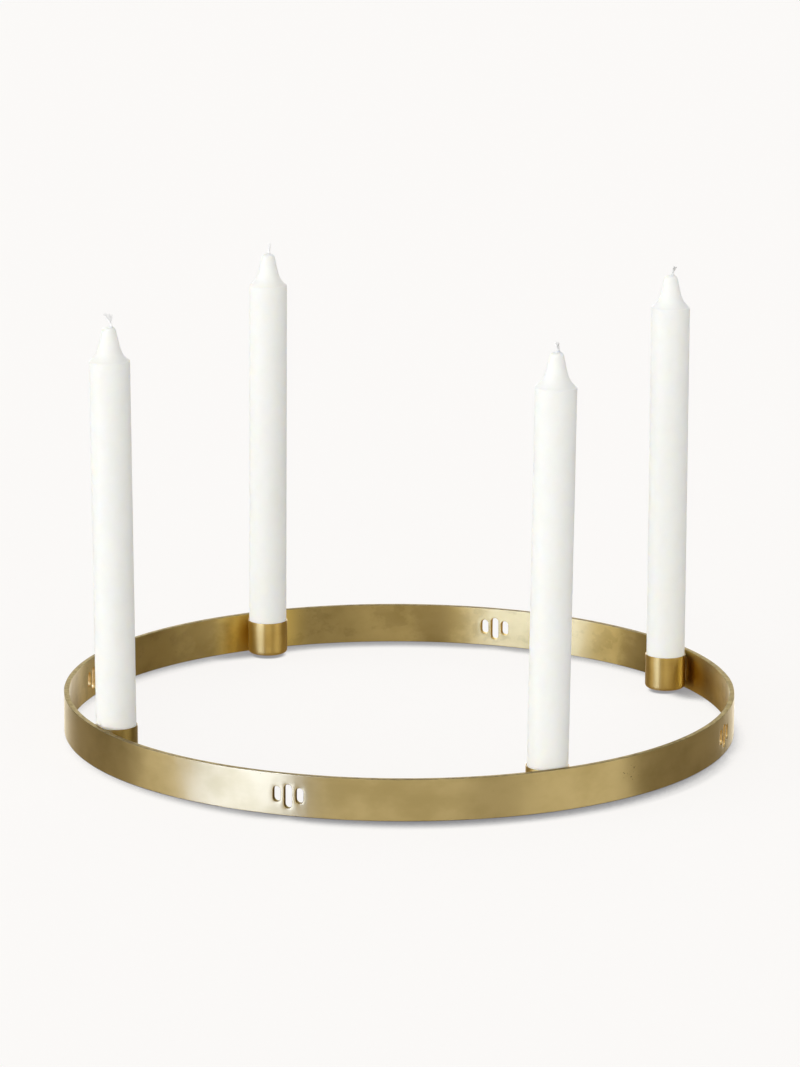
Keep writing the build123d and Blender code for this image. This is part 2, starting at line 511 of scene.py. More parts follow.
edit(band, "FACE")
bpy.ops.object.mode_set(mode="OBJECT")
for face in band.data.polygons:
    face.select = in_slot(face.center) is not None
bpy.ops.object.mode_set(mode="EDIT")
bpy.ops.mesh.delete(type="FACE")
deselect()
print("flat sheet with", len(band.data.polygons), "faces")

# %% Slot outlines
TOUCHING = 1e-6

for corner in band.data.vertices:
    for centre, middle, length in slots:
        across = corner.co.x - centre
        along = corner.co.y - middle
        reach = length / 2 - slot_radius
        on_box = abs(across) < slot_radius + TOUCHING and abs(along) < length / 2 + TOUCHING
        if on_box and abs(along) > reach:
            cap = Vector((0, math.copysign(reach, along)))
            out = (Vector((across, along)) - cap).normalized() * slot_radius + cap
            corner.co.x = centre + out.x
            corner.co.y = middle + out.y
print("slots drawn round")

# %% Roll the sheet and close the ring
DISH_DEPTH = 0.0001
QUARTERS = 4
QUARTER_TURN = 90
WELD = 1e-5


def dish(place):
    """How far the punch has pressed in the sheet, which is most at the edge of a slot."""
    nearest = DISH_WIDTH
    for centre, middle, length in slots:
        beyond = max(0, abs(place.y - middle) - (length / 2 - slot_radius))
        nearest = min(nearest, math.hypot(place.x - centre, beyond) - slot_radius)
    return DISH_DEPTH * (1 - max(0, nearest) / DISH_WIDTH) ** 2


for corner in band.data.vertices:
    place = level(math.degrees(corner.co.x / ring_radius)) * (ring_radius - dish(corner.co))
    corner.co = (place.x, place.y, corner.co.y)
edit(band)
bpy.ops.mesh.select_all(action="SELECT")
turn = math.radians(QUARTER_TURN * (QUARTERS - 1))
bpy.ops.mesh.spin(steps=QUARTERS - 1, dupli=True, angle=turn, center=(0, 0, 0), axis=(0, 0, 1))
bpy.ops.mesh.select_all(action="SELECT")
bpy.ops.mesh.remove_doubles(threshold=WELD)
bpy.ops.object.mode_set(mode="OBJECT")
first_face = band.data.polygons[0]
if first_face.normal.dot(first_face.center) < 0:
    band.data.flip_normals()
print("ring of", len(band.data.polygons), "faces")


# %% Wall and rounded edges
LIP_ROUND = 0.00032
EDGE_SEGMENTS = 4


def finish_modifiers(piece):
    """Applies a piece's modifiers in order."""
    deselect()
    bpy.context.view_layer.objects.active = piece
    piece.select_set(True)
    for modifier in list(piece.modifiers):
        bpy.ops.object.modifier_apply(modifier=modifier.name)


uses = [0] * len(band.data.edges)
edge_number = {edge.key: edge.index for edge in band.data.edges}
for face in band.data.polygons:
    for key in face.edge_keys:
        uses[edge_number[key]] += 1
weights = band.data.attributes.new("bevel_weight_edge", "FLOAT", "EDGE")
for edge, count in zip(band.data.edges, uses):
    if count == 1:
        heights = [band.data.vertices[v].co.z for v in edge.vertices]
        on_rim = max(heights) < TOUCHING or min(heights) > band_height - TOUCHING
        weights.data[edge.index].value = 1.0 if on_rim else LIP_ROUND / BAND_EDGE_ROUND
wall = band.modifiers.new("wall", "SOLIDIFY")
wall.thickness = BAND_WALL
wall.offset = -1
edges = band.modifiers.new("edges", "BEVEL")
edges.limit_method = "WEIGHT"
edges.width = BAND_EDGE_ROUND
edges.segments = EDGE_SEGMENTS
finish_modifiers(band)
print("wall", BAND_WALL, "m thick")

# %% Rolling marks
ROLLING_WAVE = 0.00036
WAVE_LENGTH = 0.03
WAVE_DEPTH = 3
SMOOTH_ANGLE = math.radians(40)


def make_wavy(piece, name, length, depth, height):
    """Pushes a piece's surface in and out by slow noise."""
    waves = bpy.data.textures.new(name, "CLOUDS")
    waves.noise_scale = length
    waves.noise_depth = depth
    marks = piece.modifiers.new(name, "DISPLACE")
    marks.texture = waves
    marks.texture_coords = "LOCAL"
    marks.strength = height
    finish_modifiers(piece)


rim_heights = {
    corner.index: corner.co.z
    for corner in band.data.vertices
    if not BAND_EDGE_ROUND < corner.co.z < band_height - BAND_EDGE_ROUND
}
make_wavy(band, "rolling waves", WAVE_LENGTH, WAVE_DEPTH, ROLLING_WAVE)
for number, rim_height in rim_heights.items():
    band.data.vertices[number].co.z = rim_height
bpy.ops.object.shade_smooth_by_angle(angle=SMOOTH_ANGLE)
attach(band, "holder")
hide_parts("ring_band")
print("band of", len(band.data.polygons), "faces")

# %% [markdown]
# ## Satin brass
# The band was brushed along its length, so it is nearly a mirror along the brush lines and rough
# across them: upright edges of the studio stay sharp in it while everything smears up and down.
# That is anisotropy, with the rough direction turned a quarter turn from the ring's own. Noise
# that is stretched level gives the brush lines, and slow noise gives the patches where hands and
# air have dulled the metal. The rest is painted light and a few marks. The inside of the band is
# darkened as painted shade and brightened near some angles as painted highlight, a warm colour
# beside each cup is a painted reflection of the light that cup and band throw at each other, and
# a few places on the inside are darkened as painted shade, among random smudges. There are also a
# few pits on the outside. Each is a mask by place, so nothing has to be painted by hand.

# %% Brushed brass
BRUSH_LINES = (8, 8, 2600)
DULL_PATCHES = (30, 30, 45)
DULL_LOW, DULL_HIGH = 0.38, 0.72
ROUGHNESS_SPREAD = 0.10
SCRATCH_STRENGTH, SCRATCH_DEPTH = 0.12, 0.00005
ROUGH_ACROSS = 0.25


def brass(name, clean, dull, roughness, anisotropy):
    """Brushed brass, with brush lines level round an upright axis."""
    material, shader, place = new_finish(name)
    hold(shader, Metallic=1.0, Anisotropic=anisotropy, Anisotropic_Rotation=ROUGH_ACROSS)
    lines = place.grain(BRUSH_LINES, detail=3.0, roughness=0.6)
    patches = place.grain(DULL_PATCHES, detail=4.0, roughness=0.55)
    colour = patches.step(DULL_LOW, DULL_HIGH).blend(clean, dull)
    roughness = roughness + ROUGHNESS_SPREAD * lines.centred() + ROUGHNESS_SPREAD * patches.centred()
    feed(shader, Normal=lines.bump(SCRATCH_STRENGTH, SCRATCH_DEPTH))
    return material, shader, place, colour, roughness


print("brush lines", BRUSH_LINES[-1], "to the metre")

# %% Band finish
SATIN_ROUGHNESS, SATIN_ANISOTROPY = 0.42, 1.0
INNER_PART, OUTER_PART = 0.7, 0.3
BRASS = (0.615, 0.494, 0.23, 1)
BRASS_DULL = (0.515, 0.404, 0.172, 1)
# Painted shade: the inside of the band is darker than the outside.
INSIDE_SHADE_TINT = (0.80, 0.755, 0.64, 1)
# Painted highlight: the inside is brighter near these angles.
PAINTED_HIGHLIGHT_TINT = (1.13, 1.10, 0.92, 1)
PAINTED_HIGHLIGHT_ANGLES = (0, 23, 71, 90, 180, 270)
PAINTED_HIGHLIGHT_NEAR, PAINTED_HIGHLIGHT_FAR = 0.018, 0.036
# Painted reflection: a warm colour beside each cup, for the light that cup and band reflect into each
# other.
PAINTED_REFLECTION_TINT = (0.78, 0.57, 0.155, 1)
PAINTED_REFLECTION_NEAR, PAINTED_REFLECTION_FAR = 0.012, 0.034
# Painted shade at a few angles on the inside; the same tint darkens random smudges.
SHADE_AND_SMUDGE_TINT = (0.76, 0.74, 0.70, 1)
PAINTED_SHADE_ANGLES = (58, 100, 147)
PAINTED_SHADE_NEAR, PAINTED_SHADE_FAR, PAINTED_SHADE_WAVER = 0.006, 0.022, 0.05
SMUDGES = (55, 55, 75)
SMUDGE_LOW, SMUDGE_HIGH, SMUDGE_SHARE = 0.54, 0.61, 0.45
STATIONS = {"back_right": 45, "back_left": 135, "front_left": 225, "front_right": 315}
SPECK = (0.16, 0.11, 0.045, 1)
SPECK_GRAIN = (620, 620, 620)
SPECK_LOW, SPECK_HIGH, SPECK_ROUGHNESS = 0.79, 0.84, 0.15
PITTED_ANGLE, PITTED_HEIGHT = 329, 0.014
PITTED_NEAR, PITTED_FAR, PITTED_EXTRA = 0.002, 0.010, 0.18

satin, shader, place, colour, roughness = brass(
    "Satin brass", BRASS, BRASS_DULL, SATIN_ROUGHNESS, SATIN_ANISOTROPY
)
flat = place.vector("MULTIPLY", (1, 1, 0))
radius = flat.vector("LENGTH", output="Value")
inside = 1 - radius.step(ring_radius - INNER_PART * BAND_WALL, ring_radius - OUTER_PART * BAND_WALL)


def close_to(angles, near, far, waver=0):
    """1 near places at these angles inside the band, and 0 further off."""
    mask = 0
    for angle in angles:
        away = flat.distance(level(angle) * (ring_radius - BAND_WALL))
        mask = mask + (1 - (away + waver).step(near, far))
    return mask


# The inside's tint: painted shade, with painted highlights near some angles.
inside_shade_and_highlight = close_to(PAINTED_HIGHLIGHT_ANGLES, PAINTED_HIGHLIGHT_NEAR, PAINTED_HIGHLIGHT_FAR).blend(INSIDE_SHADE_TINT, PAINTED_HIGHLIGHT_TINT)
colour = inside.tint(colour, inside_shade_and_highlight)
# Painted reflection beside each cup.
painted_reflection = close_to(STATIONS.values(), PAINTED_REFLECTION_NEAR, PAINTED_REFLECTION_FAR) * inside
colour = painted_reflection.blend(colour, PAINTED_REFLECTION_TINT)
smudges = place.grain(SMUDGES, detail=5.0, roughness=0.6)
# Painted shade near some angles, joined with random smudges.
shade_and_smudges = close_to(PAINTED_SHADE_ANGLES, PAINTED_SHADE_NEAR, PAINTED_SHADE_FAR, PAINTED_SHADE_WAVER * smudges.centred())
shade_and_smudges = shade_and_smudges.math("MAXIMUM", shade_and_smudges, SMUDGE_SHARE * smudges.step(SMUDGE_LOW, SMUDGE_HIGH)) * inside
colour = shade_and_smudges.tint(colour, SHADE_AND_SMUDGE_TINT)
pitted = level(PITTED_ANGLE) * ring_radius + Vector((0, 0, PITTED_HEIGHT))
more = PITTED_EXTRA * (1 - place.distance(pitted).step(PITTED_NEAR, PITTED_FAR))
specks = (place.grain(SPECK_GRAIN) + more).step(SPECK_LOW, SPECK_HIGH)
feed(shader, Base_Color=specks.blend(colour, SPECK), Roughness=roughness + SPECK_ROUGHNESS * specks)
band.data.materials.append(satin)
print("band finish", satin.name)

# %% [markdown]
# ## Cut edges
# Where a tool has cut the strip, no brush lines run. The rim is dull from handling and the walls of
# the punched slots are fresh and golden. The slot walls of the front group are darkened as painted
# shade. One finish with three sets of colours does for all of them. The faces are told apart by the
# way they look: a cut face looks up, down or sideways, and not along the ring's radius.

# %% Cut brass
CUT_EDGE = (0.38, 0.30, 0.15, 1)
CUT_EDGE_WORN = (0.27, 0.21, 0.105, 1)
CUT_EDGE_GRAZING = (0.43, 0.405, 0.35, 1)
PUNCHED = (0.78, 0.57, 0.22, 1)
PUNCHED_WORN = (0.60, 0.42, 0.14, 1)
PUNCHED_GRAZING = (0.85, 0.75, 0.55, 1)
# Painted shade: darker walls for the slots of the front group.
SHADED_WALL = (0.24, 0.165, 0.065, 1)
SHADED_WALL_WORN = (0.17, 0.115, 0.045, 1)
SHADED_WALL_GRAZING = (0.46, 0.43, 0.35, 1)
WEAR_GRAIN = (260, 260, 260)
WEAR_LOW, WEAR_HIGH = 0.40, 0.68
CUT_ROUGHNESS, CUT_ROUGHNESS_SPREAD = 0.40, 0.2


def cut_finish(name, fresh, worn, grazing):
    """Brass where a tool has cut it, with no brush lines."""
    material, shader, place = new_finish(name)
    hold(shader, Metallic=1.0, Specular_Tint=grazing)
    wear = place.grain(WEAR_GRAIN, detail=4.0, roughness=0.6)
    feed(
        shader,
        Base_Color=wear.step(WEAR_LOW, WEAR_HIGH).blend(fresh, worn),
        Roughness=CUT_ROUGHNESS + CUT_ROUGHNESS_SPREAD * wear.centred(),
    )
    return material


band.data.materials.append(cut_finish("Cut brass", CUT_EDGE, CUT_EDGE_WORN, CUT_EDGE_GRAZING))
band.data.materials.append(cut_finish("Punched brass", PUNCHED, PUNCHED_WORN, PUNCHED_GRAZING))
band.data.materials.append(cut_finish("Darkened brass", SHADED_WALL, SHADED_WALL_WORN, SHADED_WALL_GRAZING))
print("edge finishes", [material.name for material in band.data.materials[1:]])

# %% Cut edges
RIM_FINISH, PUNCHED_FINISH, SHADED_WALL_FINISH = 1, 2, 3
SHADED_WALL_SIDE = 270
CUT_FACING = 0.85
RIM_DEPTH = 0.001

cut_faces = 0
for face in band.data.polygons:
    if abs(face.normal.xy.dot(face.center.xy.normalized())) < CUT_FACING:
        on_rim = not RIM_DEPTH < face.center.z < band_height - RIM_DEPTH
        # Painted shade on the slot walls of the front group.
        dark = face.center.dot(level(SHADED_WALL_SIDE)) > ring_radius / 2
        slot_finish = SHADED_WALL_FINISH if dark else PUNCHED_FINISH
        face.material_index = RIM_FINISH if on_rim else slot_finish
        cut_faces += 1
print("cut faces", cut_faces)

# %% [markdown]
# ## Candle cups
# Each cup is drawn from one disc of thin sheet, so it has an even wall, a round corner at its foot
# and a plain cut rim. A cylinder primitive with a second one taken out of it would leave every
# corner sharp. A lathe is closer to how the real one is finished: half of the section is drawn
# as a line of edges, one corner after the other, and spun about the cup's axis.

# %% Turned pieces
TURN_STEPS = 96
ROUND_SEGMENTS = 6
START_SIZE = 0.001
FINE_WELD = 1e-6


def rounded(corners):
    """A section line through corners of (radius, height, rounding), each drawn as round as it says."""
    line = []
    for i, (radius, height, size) in enumerate(corners):
        here = Vector((radius, height))
        if not size:
            line.append(here)
            continue
        back = (Vector(corners[i - 1][:2]) - here).normalized()
        ahead = (Vector(corners[i + 1][:2]) - here).normalized()
        half = back.angle(ahead) / 2
        middle = here + (back + ahead).normalized() * size / math.sin(half)
        start = here + back * size / math.tan(half) - middle
        end = here + ahead * size / math.tan(half) - middle
        first = math.atan2(start.y, start.x)
        sweep = math.atan2(start.cross(end), start.dot(end))
        for s in range(ROUND_SEGMENTS + 1):
            angle = first + sweep * s / ROUND_SEGMENTS
            line.append(middle + Vector((math.cos(angle), math.sin(angle))) * size)
    return line


def divided(line, longest):
    """The same line with extra points, so that no stretch is longer than asked."""
    points = []
    for a, b in zip(line, line[1:]):
        count = max(1, math.ceil((b - a).length / longest))
        points += [a.lerp(b, i / count) for i in range(count)]
    return points + [line[-1]]


def turned(name, line, foot):
    """A round piece: a section line of (radius, height) spun about the upright axis at its foot."""
    deselect()
    bpy.ops.mesh.primitive_plane_add(size=START_SIZE)
    piece = bpy.context.object
    piece.name = name
    bpy.ops.object.mode_set(mode="EDIT")
    bpy.ops.mesh.select_all(action="SELECT")
    bpy.ops.mesh.merge(type="CENTER")
    places = [foot + Vector((point.x, 0, point.y)) for point in line]
    bpy.ops.transform.translate(value=places[0])
    for a, b in zip(places, places[1:]):
        bpy.ops.mesh.extrude_vertices_move(TRANSFORM_OT_translate={"value": b - a})
    bpy.ops.mesh.select_all(action="SELECT")
    bpy.ops.mesh.spin(steps=TURN_STEPS, angle=math.tau, center=foot, axis=(0, 0, 1))
    bpy.ops.mesh.select_all(action="SELECT")
    bpy.ops.mesh.remove_doubles(threshold=FINE_WELD)
    bpy.ops.mesh.normals_make_consistent(inside=False)
    bpy.ops.object.mode_set(mode="OBJECT")
    return piece


def foot_of(node):
    """The middle of a node's lowest face, and half its width and its whole height."""
    low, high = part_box(node)
    middle = (low + high) / 2
    return Vector((middle.x, middle.y, low.z)), (high.x - low.x) / 2, high.z - low.z


print("lathe of", TURN_STEPS, "steps")

# %% Cups
CUP_WALL = 0.0005
CUP_FLOOR = 0.0006
CUP_CORNER = 0.0022
CUP_RIM_ROUND = 0.0002
CUP_ROW = 0.0012
DRAWING_WAVE = 0.000004
DRAWING_WAVE_LENGTH = 0.006
DRAWING_WAVE_DEPTH = 2
CUP_SMOOTH_ANGLE = math.radians(50)

cups = {}
for station in STATIONS:
    foot, cup_radius, cup_height = foot_of(f"candle_cup_{station}")
    bore = cup_radius - CUP_WALL
    section = rounded([
        (0, 0, 0),
        (cup_radius, 0, CUP_CORNER),
        (cup_radius, cup_height, CUP_RIM_ROUND),
        (bore, cup_height, CUP_RIM_ROUND),
        (bore, CUP_FLOOR, CUP_CORNER - CUP_WALL),
        (0, CUP_FLOOR, 0),
    ])
    cup = turned(f"drawn_cup_{station}", divided(section, CUP_ROW), foot)
    make_wavy(cup, "drawing marks", DRAWING_WAVE_LENGTH, DRAWING_WAVE_DEPTH, DRAWING_WAVE)
    bpy.ops.object.shade_smooth_by_angle(angle=CUP_SMOOTH_ANGLE)
    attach(cup, "holder")
    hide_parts(f"candle_cup_{station}")
    cups[station] = cup
print(len(cups), "cups of", len(cup.data.polygons), "faces")

# %% [markdown]
# ## Drawn brass
# The cups are brass like the band, a little more golden, and brushed while they turned, so the same
# recipe serves with other colours. One cup, at the front left, is given a darker colour. It could have
# a material of its own, but a mask by the distance from that cup keeps all four in one finish.

# %% Cup finish
DRAWN_ROUGHNESS, DRAWN_ANISOTROPY = 0.40, 0.9
CUP_BRASS = (0.58, 0.41, 0.125, 1)
CUP_BRASS_DULL = (0.50, 0.335, 0.092, 1)
# A darker colour for one cup.
TARNISH = (0.31, 0.22, 0.065, 1)
TARNISHED_CUP = "front_left"
DARKER_CUP_NEAR, DARKER_CUP_FAR = 2, 4

cup_finish, shader, place, colour, roughness = brass(
    "Drawn brass", CUP_BRASS, CUP_BRASS_DULL, DRAWN_ROUGHNESS, DRAWN_ANISOTROPY
)
foot, cup_radius, _ = foot_of(f"candle_cup_{TARNISHED_CUP}")
darker_cup_mask = 1 - place.distance(foot).step(cup_radius * DARKER_CUP_NEAR, cup_radius * DARKER_CUP_FAR)
feed(shader, Base_Color=darker_cup_mask.blend(colour, TARNISH), Roughness=roughness)
for cup in cups.values():
    cup.data.materials.append(cup_finish)
print("cup finish", cup_finish.name)

# %% [markdown]
# ## Brazed seams
# A cup only touches the band along one line, so molten filler is drawn into the narrow wedge on
# both sides of that line and sets with a hollow face. A plain block between the two would show as
# a block from above. Here a cube is divided, and each of its points is laid between the cup's wall
# and the band's face: the ends are pinched in the middle, and noise gives the uneven run of metal
# that has flowed.

# %% Seams
SEAM_HALF_WIDTH = 0.0040
SEAM_SINK = 0.0003
SEAM_PINCH = 0.16
SEAM_RUN = 0.0009
SEAM_CUTS = 11
RUN_ACROSS, RUN_UP, RUN_ALONG_ENDS = 2, 3, 3

ring_inside = ring_radius - BAND_WALL
seams = {}
for station, angle in STATIONS.items():
    foot, cup_radius, cup_height = foot_of(f"candle_cup_{station}")
    spoke = Vector((foot.x, foot.y)).length
    outwards = level(angle)
    sideways = level(angle + 90)
    seam_low, seam_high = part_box(f"brazed_seam_{station}")
    deselect()
    bpy.ops.mesh.primitive_cube_add(size=2)
    seam = bpy.context.object
    seam.name = f"braze_run_{station}"
    edit(seam)
    bpy.ops.mesh.select_all(action="SELECT")
    bpy.ops.mesh.subdivide(number_cuts=SEAM_CUTS)
    bpy.ops.object.mode_set(mode="OBJECT")
    for corner in seam.data.vertices:
        across, deep, tall = corner.co
        pinch = 1 - SEAM_PINCH * (1 - deep * deep)
        run = noise.noise(Vector((across * RUN_ACROSS, tall * RUN_UP, angle))) * SEAM_RUN
        side = across * (SEAM_HALF_WIDTH + run) * pinch
        near = spoke + math.sqrt((cup_radius - SEAM_SINK) ** 2 - side ** 2)
        far = math.sqrt((ring_inside + SEAM_SINK) ** 2 - side ** 2)
        middle = (seam_low.z + seam_high.z) / 2
        rise = tall * (seam_high.z - seam_low.z) / 2 * pinch
        rise += abs(tall) * noise.noise(Vector((across * RUN_ALONG_ENDS, deep, angle))) * SEAM_RUN
        reach = near + (far - near) * (deep + 1) / 2
        corner.co = outwards * reach + sideways * side + Vector((0, 0, middle + rise))
    edit(seam)
    bpy.ops.mesh.select_all(action="SELECT")
    bpy.ops.mesh.normals_make_consistent(inside=False)
    soft = seam.modifiers.new("soft", "SUBSURF")
    soft.levels = soft.render_levels = 1
    finish_modifiers(seam)
    bpy.ops.object.shade_smooth()
    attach(seam, "holder")
    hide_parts(f"brazed_seam_{station}")
    seams[station] = seam
print(len(seams), "seams of", len(seam.data.polygons), "faces")

# %% [markdown]
# ## Cast filler
# Filler that has flowed and set is never brushed: it is dull, freckled and a little sooty from the
# torch. Two grains of noise are enough on a piece this small, a fine one for the freckles of its
# rough skin and a slower one for the soot.

# %% Seam finish
FILLER = (0.40, 0.27, 0.10, 1)
FILLER_SOOT = (0.20, 0.12, 0.045, 1)
FRECKLES = (900, 900, 900)
FRECKLE_STRENGTH, FRECKLE_DEPTH = 0.5, 0.0002
SOOT = (220, 220, 220)
SOOT_LOW, SOOT_HIGH = 0.42, 0.70
FILLER_ROUGHNESS, FILLER_ROUGHNESS_SPREAD = 0.48, 0.25


def cast_filler(name):
    """Brazing filler as it sets: dull, freckled and a little sooty."""
    material, shader, place = new_finish(name)
    hold(shader, Metallic=1.0)
    freckles = place.grain(FRECKLES, detail=4.0, roughness=0.6)
    soot = place.grain(SOOT, detail=3.0)
    feed(
        shader,
        Base_Color=soot.step(SOOT_LOW, SOOT_HIGH).blend(FILLER, FILLER_SOOT),
        Roughness=FILLER_ROUGHNESS + FILLER_ROUGHNESS_SPREAD * freckles.centred(),
        Normal=freckles.bump(FRECKLE_STRENGTH, FRECKLE_DEPTH),
    )
    return material


filler = cast_filler("Cast filler")
for seam in seams.values():
    seam.data.materials.append(filler)
print("seam finish", filler.name)

# %% [markdown]
# ## Candles
# A dinner candle is drawn as a rod and its end is milled: a crisp shoulder, a hollow flare, a
# conical neck and a domed crown with the wax drawn a little way up the wick. The lathe turns that
# section too, from the foot up the outside and back down the bore. Four exact copies would look
# machine-made. So the candles differ a little in length, each wick leaves its crown a little off
# centre, and each candle is tipped by the small angle that its loose fit allows. A very weak
# Displace takes the last stiffness off the stem.

# %% Candle sizes
STEM_LENGTH = 0.2235
FLARE_HEIGHT = 0.0080
WAIST_RADIUS = 0.00575
NECK_HEIGHT = 0.0105
CROWN_RADIUS = 0.0034
CROWN_ROUND = 0.0022
BUTT_ROUND = 0.0019
SHOULDER_ROUND = 0.0003
BORE_RADIUS = 0.0009
CLIMB_FOOT, CLIMB_SLOPE, CLIMB_ROUND, CLIMB_LIP = 1.15, 0.1, 0.0004, 1.05
FLARE_POINTS = 14
WAX_ROW = 0.004
WAX_WAVE = 0.00012
WAX_WAVE_LENGTH = 0.03
WAX_WAVE_DEPTH = 2
CUP_DEPTH = 0.0194
PICTURE_RIGHT = 18
WAX_CLIMB = {"back_right": 0.0007, "back_left": 0.0007, "front_left": 0.0007, "front_right": 0.0010}
LONGER = {"back_right": 0.0017, "back_left": 0, "front_left": -0.0003, "front_right": 0.0018}
WICK_ASIDE = {"back_right": 0.0009, "back_left": 0.0004, "front_left": 0.0014, "front_right": 0.0008}
ASIDE_DEPTH = 0.012
TIP_RIGHT = {"back_right": -0.20, "back_left": 0.20, "front_left": -0.46, "front_right": 0.57}
print("stem", STEM_LENGTH, "m, tipped by up to", max(map(abs, TIP_RIGHT.values())), "degrees")


# %% Candle shapes
def hollow(start, direction, end):
    """Points of the arc that leaves start in a direction and reaches end, in that order."""
    sideways = Vector((-direction.y, direction.x)).normalized()
    chord = end - start
    radius = chord.length_squared / (2 * sideways.dot(chord))
    middle = start + sideways * radius
    a, b = start - middle, end - middle
    sweep = math.atan2(a.cross(b), a.dot(b))
    first = math.atan2(a.y, a.x)
    angles = [first + sweep * i / FLARE_POINTS for i in range(FLARE_POINTS + 1)]
    return [middle + Vector((math.cos(t), math.sin(t))) * abs(radius) for t in angles]


def tipping(station):
    """The turn of a candle in its loose cup, about the middle of the cup's depth."""
    foot, radius, _ = foot_of(f"candle_{station}")
    angle = math.radians(TIP_RIGHT[station])
    hinge = Matrix.Translation(foot + Vector((0, 0, CUP_DEPTH / 2)))
    turn = Matrix.Rotation(angle, 4, level(PICTURE_RIGHT + 90))
    raised = Matrix.Translation((0, 0, (radius - BUTT_ROUND) * math.sin(abs(angle))))
    return raised @ hinge @ turn @ hinge.inverted()


def crown_of(station):
    """The height of a candle's crown above its foot."""
    return STEM_LENGTH + LONGER[station] + FLARE_HEIGHT + NECK_HEIGHT


def aside(station, height):
    """How far off the candle's axis the wick lies at a height, near the crown."""
    share = 1 - (crown_of(station) - height) / ASIDE_DEPTH
    return level(PICTURE_RIGHT) * WICK_ASIDE[station] * min(max(share, 0), 1)


print("crowns", [round(crown_of(station), 4) for station in STATIONS], "m above the foot")

# %% Candles
candles = {}
for station in STATIONS:
    foot, candle_radius, _ = foot_of(f"candle_{station}")
    stem = STEM_LENGTH + LONGER[station]
    crown_height = crown_of(station)
    waist = Vector((WAIST_RADIUS, stem + FLARE_HEIGHT))
    neck_line = Vector((WAIST_RADIUS - CROWN_RADIUS, -NECK_HEIGHT))
    flare = hollow(waist, neck_line, Vector((candle_radius, stem)))
    climb = WAX_CLIMB[station]
    section = rounded(
        [(BORE_RADIUS, 0, 0), (candle_radius, 0, BUTT_ROUND), (candle_radius, stem, SHOULDER_ROUND)]
        + [(point.x, point.y, 0) for point in reversed(flare[:-1])]
        + [
            (CROWN_RADIUS, crown_height, CROWN_ROUND),
            (BORE_RADIUS * CLIMB_FOOT + climb * CLIMB_SLOPE, crown_height, CLIMB_ROUND),
            (BORE_RADIUS * CLIMB_LIP, crown_height + climb, 0),
            (BORE_RADIUS, crown_height + climb, 0),
            (BORE_RADIUS, 0, 0),
        ]
    )
    candle = turned(f"wax_candle_{station}", divided(section, WAX_ROW), foot)
    make_wavy(candle, "wax waves", WAX_WAVE_LENGTH, WAX_WAVE_DEPTH, WAX_WAVE)
    for corner in candle.data.vertices:
        out = (corner.co - foot).xy.length
        near_wick = min(max((CROWN_RADIUS - out) / (CROWN_RADIUS - BORE_RADIUS), 0), 1)
        corner.co += aside(station, corner.co.z - foot.z) * near_wick
    candle.data.transform(tipping(station))
    bpy.ops.object.shade_smooth_by_angle(angle=SMOOTH_ANGLE)
    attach(candle, f"candle_{station}")
    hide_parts(f"candle_{station}")
    candles[station] = candle
print(len(candles), "candles of", len(candle.data.polygons), "faces")

# %% [markdown]
# ## Wax
# Light goes a few millimetres into wax and comes out beside where it went in, which is why a candle
# looks soft. Subsurface scattering does just that, where plain white paint would look like plastic.
# The skin has a faint frost and long streaks, which go into the roughness and the bump.

# %% Wax finish
WAX = (0.875, 0.875, 0.84, 1)
WAX_DENSE = (0.865, 0.864, 0.825, 1)
FROST = (160, 160, 90)
FROST_LOW, FROST_HIGH = 0.40, 0.68
STREAKS = (700, 700, 14)
WAX_ROUGHNESS, FROST_ROUGHNESS, STREAK_ROUGHNESS = 0.50, 0.10, 0.08
FROST_RELIEF, STREAK_RELIEF = 0.6, 0.4
SKIN_STRENGTH, SKIN_DEPTH = 0.06, 0.0002


def wax_finish(name):
    """Stearin wax: it lets light a few millimetres in, and frosts a little as it cools."""
    material, shader, place = new_finish(name)
    hold(shader, Subsurface_Weight=0.5, Subsurface_Radius=(1.0, 0.85, 0.6), Subsurface_Scale=0.002)
    hold(shader, IOR=1.44, Specular_IOR_Level=0.08)
    frost = place.grain(FROST, detail=4.0, roughness=0.55)
    streaks = place.grain(STREAKS)
    roughness = WAX_ROUGHNESS + FROST_ROUGHNESS * frost.centred() + STREAK_ROUGHNESS * streaks.centred()
    skin = frost * FROST_RELIEF + streaks * STREAK_RELIEF
    feed(
        shader,
        Base_Color=frost.step(FROST_LOW, FROST_HIGH).blend(WAX, WAX_DENSE),
        Roughness=roughness,
        Normal=skin.bump(SKIN_STRENGTH, SKIN_DEPTH),
    )
    return material


wax = wax_finish("Stearin wax")
for candle in candles.values():
    candle.data.materials.append(wax)
print("wax finish", wax.name)

# %% [markdown]
# ## Wicks
# A candle wick is a flat plait of three cotton strands. A bent tube would do from far away, but the
# plait shows in a close view, and the cut end fans out into its yarns. Each strand is a smooth NURBS
# path that weaves from side to side about the wick's line, given a round section, made a mesh and
# joined with the other two. The yarns of the fan are thinner paths of the same kind, and a plain
# core fills the bore below the crown.

# %% Strands
STRAND_RADIUS = 0.00036
WEAVE_WIDTH = 0.00052
WEAVE_DEPTH = 0.00022
WEAVE_PITCH = 0.0042
KNOT_STEP = 0.0004
BEND_RADIUS = 0.008
CORE_RADIUS = 0.00084
CORE_POINTS = 24


def path_piece(places, radius):
    """A round strand along a smooth path."""
    deselect()
    bpy.ops.curve.primitive_nurbs_path_add()
    strand = bpy.context.object
    spline = strand.data.splines[0]
    spline.points.add(len(places) - len(spline.points))
    for knot, place in zip(spline.points, places):
        knot.co = (*place, 1)
    spline.order_u = 4
    spline.use_endpoint_u = True
    strand.data.resolution_u = 3
    strand.data.bevel_depth = radius
    strand.data.bevel_resolution = 2
    strand.data.use_fill_caps = True
    bpy.ops.object.convert(target="MESH")
    return bpy.context.object


